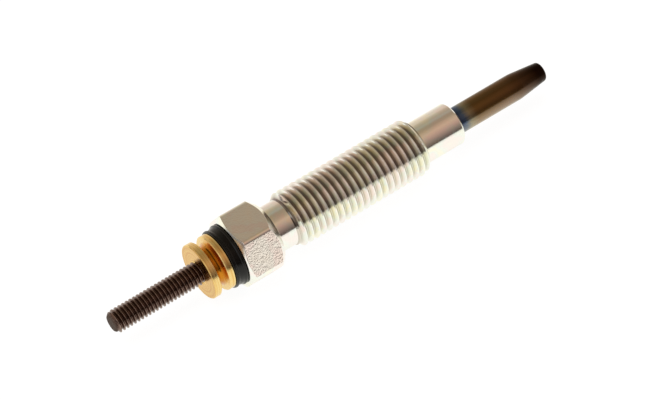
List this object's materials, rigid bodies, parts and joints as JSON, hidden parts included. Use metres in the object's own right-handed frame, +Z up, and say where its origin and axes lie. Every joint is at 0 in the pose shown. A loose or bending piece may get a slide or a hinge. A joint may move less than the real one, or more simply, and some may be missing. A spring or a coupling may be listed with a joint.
{
  "type": "diesel glow plug",
  "caption": "Sheathed glow plug: hexagon housing with a mounting thread, brown tapered heater sheath, black insulating bush, grooved brass nut and a threaded terminal stud.",
  "frame": {"origin": "centre of the bounding box at its base: the plug lies with one flat of its hexagon on the ground plane", "axes": "+X along the plug from the terminal stud to the heater tip, +Z up, away from the flat it lies on"},
  "size_m": [0.0866, 0.0138, 0.012],
  "materials": {
    "zinc_plated_steel": "bright zinc plating, faintly iridescent",
    "heat_tinted_alloy": "ground tube with a brown oxide, blue beside the housing",
    "resistance_wire": "drawn wire",
    "magnesia": "compacted powder",
    "seal_rubber": "moulded",
    "dark_steel": "rolled thread, dark brown-black",
    "black_moulding": "moulded phenolic, satin",
    "turned_brass": "turned, bright"
  },
  "bodies": {
    "root": {"housing": "zinc_plated_steel", "heater_sheath": "heat_tinted_alloy", "heating_coil": "resistance_wire", "control_coil": "resistance_wire", "magnesia_fill": "magnesia", "sheath_seal": "seal_rubber", "centre_rod": "dark_steel", "seal_ring": "seal_rubber", "insulating_bush": "black_moulding", "round_nut": "turned_brass"}
  },
  "joints": []
}
